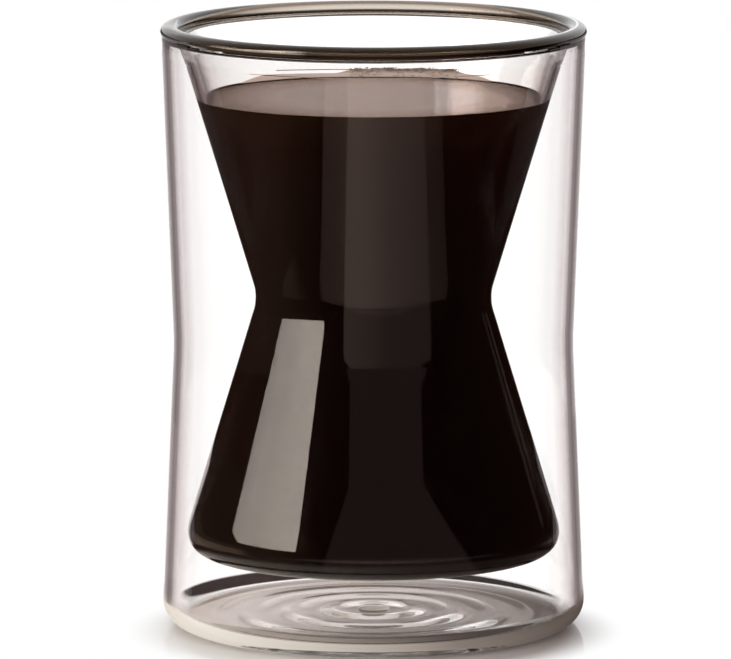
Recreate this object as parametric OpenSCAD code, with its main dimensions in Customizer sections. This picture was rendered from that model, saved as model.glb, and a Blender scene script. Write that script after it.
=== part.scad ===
// Double walled glass cup: an hourglass vessel for the drink, sealed inside a lightly waisted jacket.
// Every piece is blown or drawn glass and is round about the Z axis. All sizes are in millimetres.
// The origin is the centre of the foot, on the surface that the cup stands on.

/* [Overall] */
// Height from the table to the top of the rim
cup_h = 121; // [112:1:140]
// Diameter over the rim bead
rim_d = 85; // [82:0.5:95]
// How far the foot lies inside the rim, on each side
foot_inset = 0.25; // [0:0.05:1.5]

/* [Rim] */
// Height of the rounded bead that runs round the mouth
bead_t = 2.8; // [2.4:0.1:3.6]
// Width of that bead across the rim
bead_w = 3.9; // [3.4:0.1:4.6]
// How far the bead stands out past the outer wall below it
bead_proud = 0.3; // [0.1:0.05:0.6]
// Height of the fused rim, from its top down to the ends of the two walls
rim_h = 6; // [5.5:0.25:9]
// Air gap between the two walls where they reach the rim
mouth_gap = 2.6; // [2:0.1:5]

/* [Outer wall] */
// Thickness of the outer wall
outer_t = 1.65; // [1.2:0.05:2.2]
// How far the outer wall draws in at its waist, on each side
outer_pinch = 2.2; // [0.6:0.1:2.6]
// Height of the outer waist above the table
outer_waist_z = 57; // [45:1:70]
// Radius of the soft bend at the outer waist
outer_bend_r = 60; // [30:5:150]

/* [Inner vessel] */
// Thickness of the inner wall
inner_t = 1.7; // [1.2:0.05:2.3]
// Diameter outside the inner waist, where its two cones would meet in a crease
inner_waist_d = 46.4; // [38:0.1:54]
// Height of the inner waist above the table
inner_waist_z = 66.2; // [56:0.5:76]
// Radius outside the inner waist, which rounds that crease
inner_bend_r = 8.5; // [5:0.5:20]
// Air gap beside the widest part of the lower bowl, at the foot
bowl_gap = 3.4; // [3:0.1:7]
// Radius of the corner between the lower bowl and its floor
bowl_corner_r = 5; // [3.5:0.25:8]
// Height of the lower bowl's underside above the table, at its edge
bowl_under_z = 14.5; // [9:0.5:20]
// How far the floor of the lower bowl rises towards its middle
bowl_rise = 1.2; // [0.4:0.1:3]

/* [Base] */
// Height of the base's turned-up edge, where the outer wall is fused on
base_h = 5.5; // [5:0.25:8]
// Thickness of the base's floor
base_t = 2.2; // [1.6:0.1:3]
// Radius of the base's lower corner
base_corner_r = 5; // [2.5:0.25:5]
// Width of the flat ring that the cup stands on
stand_w = 5; // [3:0.5:9]
// How far the underside rises from that ring to the middle
base_recess = 0.6; // [0.2:0.1:1.2]
// Number of rings in the base's rippled floor
ripple_count = 4; // [2:1:6]
// Height of those ripples
ripple_h = 0.3; // [0.1:0.05:0.5]

/* [Vent seal] */
// Diameter of the vent hole through the middle of the base
vent_d = 3; // [2:0.25:4]
// Diameter of the drop of glass that closes it
seal_d = 6.4; // [5.5:0.25:9]
// Height of that drop above the base's floor
seal_h = 0.7; // [0.5:0.1:2]

/* [Hidden] */
$fn = 144;
// Steps along a rounded corner, a domed floor and one ripple
corner_steps = 10;
dome_steps = 12;
ripple_steps = 8;
// Steps round the rim's bead, and the angle at which the inner wall leaves it
bead_steps = 24;
bead_last_angle = 200;
// Shape of the rim below the bead, as shares of the bead's height: how far under the lip the inner wall
// starts to flare, how round it does so, and how far under the bead's middle the groove of the gap ends
knee_depth_share = 0.81;
knee_round_share = 0.21;
groove_depth_share = 0.47;
// Play round the shank of the vent seal
vent_play = 0.04;
// Clear glass, as it looks against a white ground
outer_tint = "#e6dcdc";
inner_tint = "#cfc4c2";
rim_tint = "#4a423c";
base_tint = "#c9bdb3";

// Where the pieces meet
rim_z = cup_h - rim_h;
bead_path_r = rim_d / 2 - bead_w / 2;
bead_z = cup_h - bead_t / 2;
outer_top_r = rim_d / 2 - bead_proud;
foot_r = rim_d / 2 - foot_inset;
mouth_r = outer_top_r - outer_t - mouth_gap;
foot_bore_r = foot_r - outer_t;

// Outer waist, drawn in from the straight line between its two ends
outer_waist_share = (outer_waist_z - base_h) / (rim_z - base_h);
outer_waist_r = foot_r + (outer_top_r - foot_r) * outer_waist_share - outer_pinch;

// Lower bowl: its cone leaves the waist and just touches the round of the corner
inner_waist_r = inner_waist_d / 2;
bowl_r = foot_bore_r - bowl_gap;
corner_centre_r = bowl_r - bowl_corner_r;
corner_centre_z = bowl_under_z + bowl_corner_r;
waist_to_corner = norm([corner_centre_r - inner_waist_r, inner_waist_z - corner_centre_z]);
bowl_lean = atan2(corner_centre_r - inner_waist_r, inner_waist_z - corner_centre_z)
    + asin(bowl_corner_r / waist_to_corner);
bowl_line_r = inner_waist_r + tan(bowl_lean) * (inner_waist_z - bowl_under_z);

// Base: a flat seat for the vent seal, ripples round it, and the ring that it stands on
stand_r = foot_r - base_corner_r;
recess_r = stand_r - stand_w;
seat_r = seal_d / 2;
vent_r = vent_d / 2;
shank_r = vent_r - vent_play;
floor_corner_r = max(base_corner_r - outer_t, outer_t / 2);
floor_r = foot_bore_r - floor_corner_r;
ripple_pitch = (floor_r - seat_r) / ripple_count;

// The step from p to q, turned a quarter to its left, one unit long
function left_of(p, q) = [p[1] - q[1], q[0] - p[0]] / norm(q - p);

// A path moved to its left by t, each straight kept parallel. It starts on a level cut. It ends on one
// too, or at the axis, and end_flip mirrors it there: [1, -1] in a level cut, [-1, 1] in the axis.
function beside(path, t, end_flip) =
    let (last = len(path) - 1)
    [for (i = [0 : last])
        let (
            ahead = i < last ? left_of(path[i], path[i + 1]) : undef,
            behind = i > 0 ? left_of(path[i - 1], path[i]) : [ahead[0], -ahead[1]],
            next = i < last ? ahead : [behind[0] * end_flip[0], behind[1] * end_flip[1]]
        )
        path[i] + t * (behind + next) / (1 + behind * next)];

// The corner at b, between a and c, rounded to radius r
function round_corner(a, b, c, r) =
    let (
        to_a = (a - b) / norm(a - b),
        to_c = (c - b) / norm(c - b),
        half = acos(to_a * to_c) / 2,
        centre = b + (to_a + to_c) / norm(to_a + to_c) * r / sin(half),
        first = b + to_a * r / tan(half) - centre,
        last = b + to_c * r / tan(half) - centre,
        from = atan2(first[1], first[0]),
        turn = (atan2(last[1], last[0]) - from + 540) % 360 - 180
    )
    [for (i = [0 : corner_steps])
        let (angle = from + turn * i / corner_steps)
        centre + r * [cos(angle), sin(angle)]];

// A path with each corner rounded to its own radius, or left sharp where that is 0
function rounded(path, radii) =
    [for (i = [0 : len(path) - 1])
        each radii[i] > 0 ? round_corner(path[i - 1], path[i], path[i + 1], radii[i]) : [path[i]]];

// A list from its end to its start
function backwards(list) = [for (i = [len(list) - 1 : -1 : 0]) list[i]];

// Points of the lower bowl's domed floor, from inside the corner to the axis
function bowl_floor() =
    [for (i = [0 : dome_steps])
        let (share = 1 - i / dome_steps)
        [corner_centre_r * share, bowl_under_z + bowl_rise * (1 - share * share)]];

// Rise of the base at radius r: level at the vent, down to nothing at the stand ring
function base_rise(r) =
    let (share = min(max((r - seat_r) / (recess_r - seat_r), 0), 1))
    base_recess * (1 + cos(180 * share)) / 2;

// Height of the base's rippled floor at radius r
function floor_z(r) =
    base_t + base_rise(r) + (r > seat_r ? ripple_h * (1 - cos(360 * (r - seat_r) / ripple_pitch)) / 2 : 0);

// A wall of revolution between two paths that start and end together
module revolved_wall(outside, inside) {
    rotate_extrude()
        polygon(concat(outside, backwards(inside)));
}

// The jacket: two long cones that meet in a soft waist, open at both ends
module outer_wall() {
    path = [[outer_top_r, rim_z], [outer_waist_r, outer_waist_z], [foot_r, base_h]];
    inside = beside(path, -outer_t, [1, -1]);
    color(outer_tint, 0.35)
        revolved_wall(rounded(path, [0, outer_bend_r, 0]), rounded(inside, [0, outer_bend_r + outer_t, 0]));
}

// The vessel that holds the drink: a cone down to the waist, a wider bowl under it and a domed floor
module inner_vessel() {
    path = concat(
        [[mouth_r, rim_z], [inner_waist_r, inner_waist_z], [bowl_line_r, bowl_under_z]],
        bowl_floor());
    inside = beside(path, -inner_t, [-1, 1]);
    sharp = [for (i = [0 : dome_steps]) 0];
    color(inner_tint, 0.45)
        revolved_wall(
            rounded(path, concat([0, inner_bend_r, bowl_corner_r], sharp)),
            rounded(inside, concat([0, inner_bend_r + inner_t, bowl_corner_r - inner_t], sharp)));
}

// The rim, where both walls are melted into one oval bead right over the gap between them
module rim_bead() {
    inner_lean = atan2(mouth_r - inner_waist_r, rim_z - inner_waist_z);
    mouth_bore_r = mouth_r - inner_t / cos(inner_lean);
    knee_h = rim_h - bead_t * knee_depth_share;
    first_angle = -acos((outer_top_r - bead_path_r) / (bead_w / 2));
    bead = [for (i = [0 : bead_steps])
        let (angle = first_angle + (bead_last_angle - first_angle) * i / bead_steps)
        [bead_path_r + bead_w / 2 * cos(angle), bead_z + bead_t / 2 * sin(angle)]];
    knee = round_corner(
        bead[bead_steps],
        [mouth_bore_r + tan(inner_lean) * knee_h, rim_z + knee_h],
        [mouth_bore_r, rim_z],
        bead_t * knee_round_share);
    groove_z = bead_z - bead_t * groove_depth_share;
    groove_outer_r = outer_top_r - outer_t;
    groove_inner_r = mouth_r + tan(inner_lean) * (groove_z - rim_z);
    groove = rounded([
        [mouth_r, rim_z],
        [groove_inner_r, groove_z],
        [groove_outer_r, groove_z],
        [groove_outer_r, rim_z]
    ], [0, outer_t / 3, outer_t / 3, 0]);
    color(rim_tint, 0.8)
        rotate_extrude()
            polygon(concat([[outer_top_r, rim_z]], bead, knee, [[mouth_bore_r, rim_z]], groove));
}

// The base: a shallow dish with a rounded corner, a rippled floor and a vent hole in the middle
module base_dish() {
    outside = rounded([[foot_r, base_h], [foot_r, 0], [recess_r, 0]], [0, base_corner_r, 0]);
    underside = [for (i = [1 : dome_steps])
        let (r = recess_r + (seat_r - recess_r) * i / dome_steps)
        [r, base_rise(r)]];
    ripples = [for (i = [0 : ripple_count * ripple_steps - 1])
        let (r = seat_r + ripple_pitch * i / ripple_steps)
        [r, floor_z(r)]];
    inside = rounded([[floor_r, base_t], [foot_bore_r, base_t], [foot_bore_r, base_h]], [0, floor_corner_r, 0]);
    color(base_tint, 0.5)
        rotate_extrude()
            polygon(concat(
                outside,
                underside,
                [[vent_r, base_recess], [vent_r, base_t + base_recess]],
                ripples,
                inside));
}

// The drop of glass that closes the vent: a shank in the hole under a low domed button
module vent_seal() {
    seat_z = base_t + base_recess;
    button = [for (i = [0 : corner_steps])
        let (angle = 90 * i / corner_steps)
        [seat_r * cos(angle), seat_z + seal_h * sin(angle)]];
    color(base_tint, 0.6)
        rotate_extrude()
            polygon(concat([[0, base_recess], [shank_r, base_recess], [shank_r, seat_z]], button));
}

outer_wall();
inner_vessel();
rim_bead();
base_dish();
vent_seal();
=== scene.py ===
"""Double walled glass cup, filled with coffee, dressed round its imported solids."""

import math
import random

import bmesh
import bpy
from mathutils import Matrix, Vector


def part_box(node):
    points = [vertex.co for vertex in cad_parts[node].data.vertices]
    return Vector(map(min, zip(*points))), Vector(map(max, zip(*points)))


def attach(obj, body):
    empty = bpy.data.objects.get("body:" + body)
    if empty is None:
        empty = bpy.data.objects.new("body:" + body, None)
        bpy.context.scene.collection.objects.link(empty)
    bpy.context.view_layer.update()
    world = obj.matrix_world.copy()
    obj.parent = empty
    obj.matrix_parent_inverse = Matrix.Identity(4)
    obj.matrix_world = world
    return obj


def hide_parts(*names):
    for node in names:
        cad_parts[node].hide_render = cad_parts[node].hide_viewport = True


bl_info = {
    "name": "Double Walled Glass Cup",
    "version": (1, 0, 0),
    "blender": (4, 5, 0),
    "location": "3D View > Sidebar > Glass Cup",
    "description": "Models a double walled glass cup of coffee, with its glass, its drink and its studio",
    "category": "Add Mesh",
}

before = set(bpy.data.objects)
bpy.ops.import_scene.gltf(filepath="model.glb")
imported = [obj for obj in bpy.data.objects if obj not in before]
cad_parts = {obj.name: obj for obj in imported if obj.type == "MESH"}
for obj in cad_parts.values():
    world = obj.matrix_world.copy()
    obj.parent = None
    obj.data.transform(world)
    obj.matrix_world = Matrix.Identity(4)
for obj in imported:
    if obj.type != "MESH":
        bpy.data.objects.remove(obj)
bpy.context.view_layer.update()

MM = 0.001
FULL_TURN = math.tau
AXIS = (0.0, 0.0, 1.0)

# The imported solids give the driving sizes: lowest and highest corner of a node
RIM_LOW, RIM_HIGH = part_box("rim_bead")
BASE_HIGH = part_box("base_dish")[1]
SEAL_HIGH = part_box("vent_seal")[1]

# Steps of a rounded corner, the rim's bead, the vessel's domed floor, one ripple, the vent's drop, the
# meniscus and a screen, and the longest straight step of an outline
CORNER_STEPS, BEAD_STEPS, DOME_STEPS, RIPPLE_STEPS = 12, 40, 6, 16
DROP_STEPS, MENISCUS_STEPS, SCREEN_STEPS = 12, 12, 24
LONGEST_STEP = 4 * MM
# How near two points count as one, the upward part of a level face's normal, and the sharpest bend of an edge
# that is shaded smooth
SAME_PLACE = 1e-6
LEVEL = 0.999
SMOOTH_BEND = math.radians(30)

# Numbers of a Mix node's two colour sockets and of its mixed colour
COLOUR_A, COLOUR_B, MIXED = 6, 7, 2
WHITE = (1.0, 1.0, 1.0, 1.0)
# Settings of a Mix node for colours, of a Math node that multiplies, of a Map Range node that turns 0 to 1
# into 1 to 0, and of clear glass
MIX_COLOURS = {"data_type": "RGBA"}
MULTIPLY = {"operation": "MULTIPLY"}
REVERSED = {"To Min": 1.0, "To Max": 0.0}
GLASS = {"Roughness": 0.0, "IOR": 1.47, "Transmission Weight": 1.0}
# Strength of what shows white: 1 to the eye, and a little more through glass, to make good what each of its
# surfaces mirrors away
WHITE_STRENGTH = {"To Min": 1.0, "To Max": 1.32}
# Skins of glass that a ray has crossed when it comes to the studio from the vessel's outside or the base's
# floor: two on its way in through the jacket, and two on its way out
VESSEL_SKINS = 4


def length(name, default, description):
    """A size in metres, shown in the scene's own units."""
    return bpy.props.FloatProperty(
        name=name, default=default, description=description, min=0.0, unit="LENGTH", precision=5)


def share_of(name, default, description):
    """A share between 0 and 1."""
    return bpy.props.FloatProperty(
        name=name, default=default, description=description, min=0.0, max=1.0, subtype="FACTOR")


def count(name, default, least, description):
    """A whole number."""
    return bpy.props.IntProperty(name=name, default=default, min=least, description=description)


def tint(name, default, description):
    """A colour, kept as an sRGB hex value."""
    return bpy.props.StringProperty(name=name, default=default, description=description)


class CupSizes(bpy.types.PropertyGroup):
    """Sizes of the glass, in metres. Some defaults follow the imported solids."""

    height: length("Height", RIM_HIGH.z, "Height from the table to the top of the rim")
    rim_r: length("Rim radius", RIM_HIGH.x, "Radius outside the bead of the rim")
    rim_z: length("Rim height", RIM_LOW.z, "Height where both walls run into the fused rim")
    bead: length("Bead height", 2.8 * MM, "Height of the rounded bead at the lip")
    bead_w: length("Bead width", 3.9 * MM, "Width of that bead across the rim")
    bead_proud: length("Bead step", 0.3 * MM, "How far the bead stands out past the jacket")
    knee_depth: share_of("Knee depth", 0.81, "How far under the top the bore bends, as a share of the bead")
    knee_round: share_of("Knee round", 0.21, "Radius of that bend, as a share of the bead")
    groove_depth: share_of("Groove depth", 0.47, "From the bead's middle to the groove, as a share of it")
    mouth_gap: length("Mouth gap", 2.6 * MM, "Air gap between the walls at the rim")
    jacket_t: length("Jacket wall", 1.65 * MM, "Thickness of the outer wall")
    jacket_waist_r: length("Jacket waist radius", 40.025 * MM, "Radius outside the jacket's waist")
    jacket_waist_z: length("Jacket waist height", 57.0 * MM, "Height of the jacket's waist")
    jacket_bend: length("Jacket bend", 60.0 * MM, "Radius of the jacket's soft bend")
    vessel_t: length("Vessel wall", 1.7 * MM, "Thickness of the inner wall")
    waist_r: length("Waist radius", 23.2 * MM, "Radius outside the vessel's waist, before its bend")
    waist_z: length("Waist height", 66.2 * MM, "Height of the vessel's waist")
    waist_bend: length("Waist bend", 8.5 * MM, "Radius outside the vessel's waist bend")
    bowl_r: length("Bowl radius", 38.93 * MM, "Radius where the lower cone would meet its floor")
    bowl_z: length("Bowl height", 14.5 * MM, "Height of the lower bowl's underside at its edge")
    bowl_corner: length("Bowl corner", 5.0 * MM, "Radius of the lower bowl's corner")
    bowl_edge: length("Bowl edge", 6.7 * MM, "From the bowl's radius in to where its floor starts to rise")
    bowl_rise: length("Bowl rise", 1.2 * MM, "How far the bowl's floor rises to its middle")
    foot_r: length("Foot radius", BASE_HIGH.x, "Radius outside the base")
    base_z: length("Base height", BASE_HIGH.z, "Height of the base's turned-up edge")
    base_t: length("Base floor", 2.2 * MM, "Thickness of the base's floor")
    base_corner: length("Base corner", 5.0 * MM, "Radius of the base's lower corner")
    stand_w: length("Stand ring", 5.0 * MM, "Width of the flat ring that the cup stands on")
    base_recess: length("Base recess", 0.6 * MM, "How far the underside rises inside that ring")
    ripple_h: length("Ripple height", 0.3 * MM, "Height of the ripples in the base's floor")
    ripple_fade: share_of("Ripple fade", 0.75, "Share of that height lost towards the base's edge")
    ripple_count: count("Ripples", 4, 1, "Number of rings in the base's floor")
    seal_r: length("Seal radius", SEAL_HIGH.x, "Radius of the drop that closes the vent")
    seal_h: length("Seal height", 0.7 * MM, "Height of that drop over the floor")
    vent_r: length("Vent radius", 1.5 * MM, "Radius of the vent hole")
    coffee_z: length("Coffee height", 106.5 * MM, "Height of the coffee's surface over the table")
    coffee_bond: length("Coffee bond", 0.06 * MM, "How far the coffee reaches into the wet glass")
    meniscus_h: length("Meniscus", 0.3 * MM, "How far the coffee climbs the glass at its edge")
    meniscus_w: length("Meniscus width", 5.0 * MM, "How far from the glass the surface is level again")
    bubble_count: count("Bubbles", 160, 0, "Number of bubbles in the coffee's foam")
    film_steps: count("Film steps", 160, 8, "Steps along the film of foam")
    turn_steps: count("Steps per turn", 192, 32, "Steps of each spun piece round its axis")


class CupColours(bpy.types.PropertyGroup):
    """Colours of the glass and the drink, as sRGB hex values."""

    glass_face: tint("Glass, face on", "#fffdfc", "Clear glass looked straight through")
    # Painted shade and light: these three tint clear glass by slant, for the dark and light lines at its
    # edges
    glass_slant: tint("Glass, slanting", "#eee2e1", "Clear glass looked through at a slant")
    glass_edge: tint("Glass, edge", "#3c3032", "The dark line inside the edge of a clear wall")
    glass_rim: tint("Glass, last edge", "#e8e0e0", "The lighter line right at the edge of a wall")
    # Painted shade: these three grey the base's glass by slant, darkest at its edges and its ripples' far
    # sides
    base_slant: tint("Base, slanting", "#e9e0dc", "The base's glass looked through at a slant")
    base_edge: tint("Base, along", "#b8aca8", "The base's glass looked along")
    base_rim: tint("Base, last edge", "#5c534e", "The base's glass at its edges and its ripples' far sides")
    # Painted reflection: the base's bend is tinted near black for the dark drink it mirrors
    base_bend: tint("Base, bend", "#050303", "What shows in the bend where the base's floor turns up")
    # Painted shade and light: the lip's face-on and edge tints give it a light core and a dark line, and its
    # gloss tints what it mirrors
    bead_face: tint("Rim, face on", "#c2b6aa", "The lip's glass looked straight through")
    bead_edge: tint("Rim, edge", "#40342a", "The lip's glass near its edges")
    # Painted shade and light on the lip's outside: the first darkens it face on, right of its lit side, the
    # second lightens its left side
    bead_painted_shade: tint("Rim, depth", "#241c17", "A tint more for the lip's outside, looked straight through")
    bead_pale: tint("Rim, lit side", "#f0e8dc", "The lip's outside on the side where the light comes in")
    bead_gloss: tint("Rim, gloss", "#cda882", "The tint of what the lip's glass mirrors")
    coffee: tint("Coffee", "#110402", "Black coffee in the glass")
    # Painted light: the lower, upper and top colours make the coffee browner towards its surface, where light
    # comes in
    coffee_lower: tint("Coffee, lower", "#160402", "Black coffee where it starts to thin out")
    coffee_upper: tint("Coffee, upper", "#1e0503", "Black coffee near its surface")
    coffee_painted_light_top: tint("Coffee, thin", "#2c1406", "Coffee at its surface, where light comes through")
    coffee_top: tint("Coffee surface", "#2a1a12", "Black coffee seen from above")
    # Painted reflection: these tints colour what the coffee's surface mirrors, duller from its middle to its
    # edge
    painted_sheen_middle: tint("Coffee sheen", "#e2d2cb", "The tint of what its surface mirrors in the middle")
    painted_sheen_outer: tint("Coffee sheen, outer", "#d2bdb3", "The same halfway to its edge")
    painted_sheen_edge: tint("Coffee sheen, edge", "#8a7466", "The same at its edge, where foam dulls it")
    foam: tint("Foam", "#f0d6c8", "The thin foam that clings to the glass at the coffee's edge")
    foam_dry: tint("Dry foam", "#a08c80", "That foam along its top, where it has dried")


def linear(hex_colour):
    """An sRGB hex colour as linear RGBA."""
    parts = [int(hex_colour[i:i + 2], 16) / 255 for i in (1, 3, 5)]
    return tuple(c / 12.92 if c <= 0.04045 else ((c + 0.055) / 1.055) ** 2.4 for c in parts) + (1.0,)


def add_node(tree, kind, settings=None, links=None):
    """Adds a node of this kind. settings gives values to its sockets, by name or number, and its properties.
    links gives the outputs that run to its sockets."""
    node = tree.nodes.new(kind)
    for key, value in (settings or {}).items():
        if isinstance(key, int) or key in node.inputs:
            node.inputs[key].default_value = value
        else:
            setattr(node, key, value)
    for key, source in (links or {}).items():
        tree.links.new(source, node.inputs[key])
    return node


def new_material(name):
    """A node material with no nodes yet, and its tree."""
    material = bpy.data.materials.new(name)
    material.use_nodes = True
    material.node_tree.nodes.clear()
    return material, material.node_tree


def fill_ramp(ramp, stops):
    """Sets the ramp's colours at their places, which start at 0 and end at 1. A colour is an sRGB hex value
    or one linear level of grey."""
    elements = ramp.color_ramp.elements
    colours = [linear(c) if isinstance(c, str) else (c, c, c, 1.0) for _, c in stops]
    elements[0].color, elements[1].color = colours[0], colours[-1]
    for (place, _), colour in zip(stops[1:-1], colours[1:-1]):
        elements.new(place).color = colour


def clear_glass(name, stops, gloss="#ffffff"):
    """Borosilicate glass, flame-worked. stops gives its tint from face on to edge on, which paints shade and
    light by slant, and gloss gives its sheen's tint.
    """
    material, tree = new_material(name)
    slant = add_node(tree, "ShaderNodeLayerWeight", {"Blend": 0.5})
    ramp = add_node(tree, "ShaderNodeValToRGB", links={"Fac": slant.outputs["Facing"]})
    fill_ramp(ramp, stops)
    shader = add_node(
        tree, "ShaderNodeBsdfPrincipled", GLASS | {"Specular Tint": linear(gloss)},
        {"Base Color": ramp.outputs["Color"]})
    add_node(tree, "ShaderNodeOutputMaterial", links={"Surface": shader.outputs["BSDF"]})
    return material


def wall_glass():
    """Borosilicate glass, drawn and blown: clear, with a painted dark line inside each edge and a painted
    lighter line at the edge, both tinted by slant where the glass would bend the light away."""
    colours = bpy.context.scene.cup_colours
    return clear_glass("borosilicate_glass_blown", [
        (0.0, colours.glass_face), (0.54, colours.glass_face), (0.65, colours.glass_slant),
        (0.78, colours.glass_edge), (1.0, colours.glass_rim)])


def base_glass():
    """Borosilicate glass, pressed to a dish: clear, with painted shade by slant, greyer where its rippled
    floor is looked along.
    """
    colours = bpy.context.scene.cup_colours
    return clear_glass("borosilicate_glass_rippled", [
        (0.0, colours.glass_face), (0.5, colours.glass_face), (0.74, colours.base_slant),
        (0.9, colours.base_edge), (1.0, colours.base_rim)])


def corner_glass():
    """Borosilicate glass where the base's floor turns up, with a painted reflection: from within, its bend is
    tinted near black for the dark drink above. The painted dark part is taller towards the left, and fades
    where the glass is looked along."""
    sizes, colours = bpy.context.scene.cup_sizes, bpy.context.scene.cup_colours
    # The bend's height, how much lower it seems for each metre to the right, and the slants between which the
    # painted dark reflection goes
    bend_h, tilt = 2.2 * MM, 0.02
    fade_start, fade_end = 0.62, 0.7
    material, tree = new_material("borosilicate_glass_bend")
    point = add_node(tree, "ShaderNodeTexCoord")
    place = add_node(tree, "ShaderNodeSeparateXYZ", links={"Vector": point.outputs["Object"]}).outputs
    tilted = add_node(
        tree, "ShaderNodeMath", {"operation": "MULTIPLY_ADD", 1: tilt}, {0: place["X"], 2: place["Z"]})
    height = add_node(
        tree, "ShaderNodeMapRange", {"From Min": sizes.base_t, "From Max": sizes.base_t + bend_h},
        {"Value": tilted.outputs["Value"]})
    ramp = add_node(tree, "ShaderNodeValToRGB", links={"Fac": height.outputs["Result"]})
    fill_ramp(ramp, [
        (0.0, colours.base_bend), (0.6, colours.base_bend), (0.8, colours.glass_face),
        (1.0, colours.glass_face)])
    slant = add_node(tree, "ShaderNodeLayerWeight", {"Blend": 0.5})
    along = add_node(
        tree, "ShaderNodeMapRange", {"From Min": fade_start, "From Max": fade_end},
        {"Value": slant.outputs["Facing"]})
    side = add_node(tree, "ShaderNodeNewGeometry")
    clear_share = add_node(
        tree, "ShaderNodeMath", {"operation": "MAXIMUM"},
        {0: along.outputs["Result"], 1: side.outputs["Backfacing"]})
    tinted = add_node(
        tree, "ShaderNodeMix", MIX_COLOURS | {COLOUR_B: linear(colours.glass_face)},
        {"Factor": clear_share.outputs["Value"], COLOUR_A: ramp.outputs["Color"]}).outputs[MIXED]
    shader = add_node(
        tree, "ShaderNodeBsdfPrincipled", GLASS, {"Base Color": tinted, "Specular Tint": tinted})
    add_node(tree, "ShaderNodeOutputMaterial", links={"Surface": shader.outputs["BSDF"]})
    return material


def lip_stops(colours):
    """The lip's tints by slant, painted shade and light: a light core that soon turns dark."""
    return [(0.0, colours.bead_face), (0.06, colours.bead_face), (0.34, colours.bead_edge),
            (1.0, colours.bead_edge)]


def lip_glass():
    """Borosilicate glass, fire polished, thick at the lip: a painted dark olive line with a painted light
    core, and a painted warm tint on what it mirrors.
    """
    colours = bpy.context.scene.cup_colours
    return clear_glass("borosilicate_glass_fire_polished", lip_stops(colours), colours.bead_gloss)


def lip_front_glass():
    """Borosilicate glass, fire polished: the lip's outside, with painted shade that makes it dark brown face
    on, right of its lit side, and painted light that makes it paler on the side where the light comes in. Its
    far side, seen through the lip, has the lip's own tint."""
    colours = bpy.context.scene.cup_colours
    # The painted light and shade turn the lip from lit to dark between two places across the cup, and it is
    # at most so pale. Its painted dark tint goes between two slants
    lit_until, dark_from, pale_most = -27 * MM, -13 * MM, 0.75
    thin_start, thin_end = 0.45, 0.8
    material, tree = new_material("borosilicate_glass_fire_polished_outside")
    slant = add_node(tree, "ShaderNodeLayerWeight", {"Blend": 0.5}).outputs["Facing"]
    ramp = add_node(tree, "ShaderNodeValToRGB", links={"Fac": slant})
    fill_ramp(ramp, lip_stops(colours))
    point = add_node(tree, "ShaderNodeTexCoord")
    place = add_node(tree, "ShaderNodeSeparateXYZ", links={"Vector": point.outputs["Object"]}).outputs
    backfacing = add_node(tree, "ShaderNodeNewGeometry").outputs["Backfacing"]
    across = {"From Min": lit_until, "From Max": dark_from}
    shaded = add_node(tree, "ShaderNodeMapRange", across, {"Value": place["X"]})
    lit = add_node(
        tree, "ShaderNodeMapRange", across | {"To Min": pale_most, "To Max": 0.0}, {"Value": place["X"]})
    thin_span = {"From Min": thin_start, "From Max": thin_end}
    face_on = add_node(tree, "ShaderNodeMapRange", REVERSED | thin_span, {"Value": slant})
    front = add_node(
        tree, "ShaderNodeMath", {"operation": "SUBTRACT", "use_clamp": True},
        {0: face_on.outputs["Result"], 1: backfacing})
    painted_shade_share = add_node(
        tree, "ShaderNodeMath", MULTIPLY,
        {0: front.outputs["Value"], 1: shaded.outputs["Result"]})
    # Painted shade: the lip's outside darkened face on, right of its lit side
    deep = add_node(
        tree, "ShaderNodeMix", MIX_COLOURS | {"blend_type": "MULTIPLY", COLOUR_B: linear(colours.bead_painted_shade)},
        {"Factor": painted_shade_share.outputs["Value"], COLOUR_A: ramp.outputs["Color"]})
    # Painted light: the lip's outside paler on its left
    pale_share = add_node(
        tree, "ShaderNodeMath", {"operation": "SUBTRACT", "use_clamp": True},
        {0: lit.outputs["Result"], 1: backfacing})
    pale = add_node(
        tree, "ShaderNodeMix", MIX_COLOURS | {COLOUR_B: linear(colours.bead_pale)},
        {"Factor": pale_share.outputs["Value"], COLOUR_A: deep.outputs[MIXED]})
    shader = add_node(
        tree, "ShaderNodeBsdfPrincipled", GLASS | {"Specular Tint": linear(colours.bead_gloss)},
        {"Base Color": pale.outputs[MIXED]})
    add_node(tree, "ShaderNodeOutputMaterial", links={"Surface": shader.outputs["BSDF"]})
    return material


def clear_skin():
    """Borosilicate glass, clear: the surfaces that face the sealed gap or the drink, with no tint at all."""
    material, tree = new_material("borosilicate_glass_clear")
    shader = add_node(tree, "ShaderNodeBsdfPrincipled", GLASS | {"Base Color": WHITE})
    add_node(tree, "ShaderNodeOutputMaterial", links={"Surface": shader.outputs["BSDF"]})
    return material


def fused_seam():
    """The seam where two pieces of glass are fused: light passes it as if it were not there."""
    material, tree = new_material("borosilicate_glass_fused_seam")
    shader = add_node(tree, "ShaderNodeBsdfTransparent")
    add_node(tree, "ShaderNodeOutputMaterial", links={"Surface": shader.outputs["BSDF"]})
    return material


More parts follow.
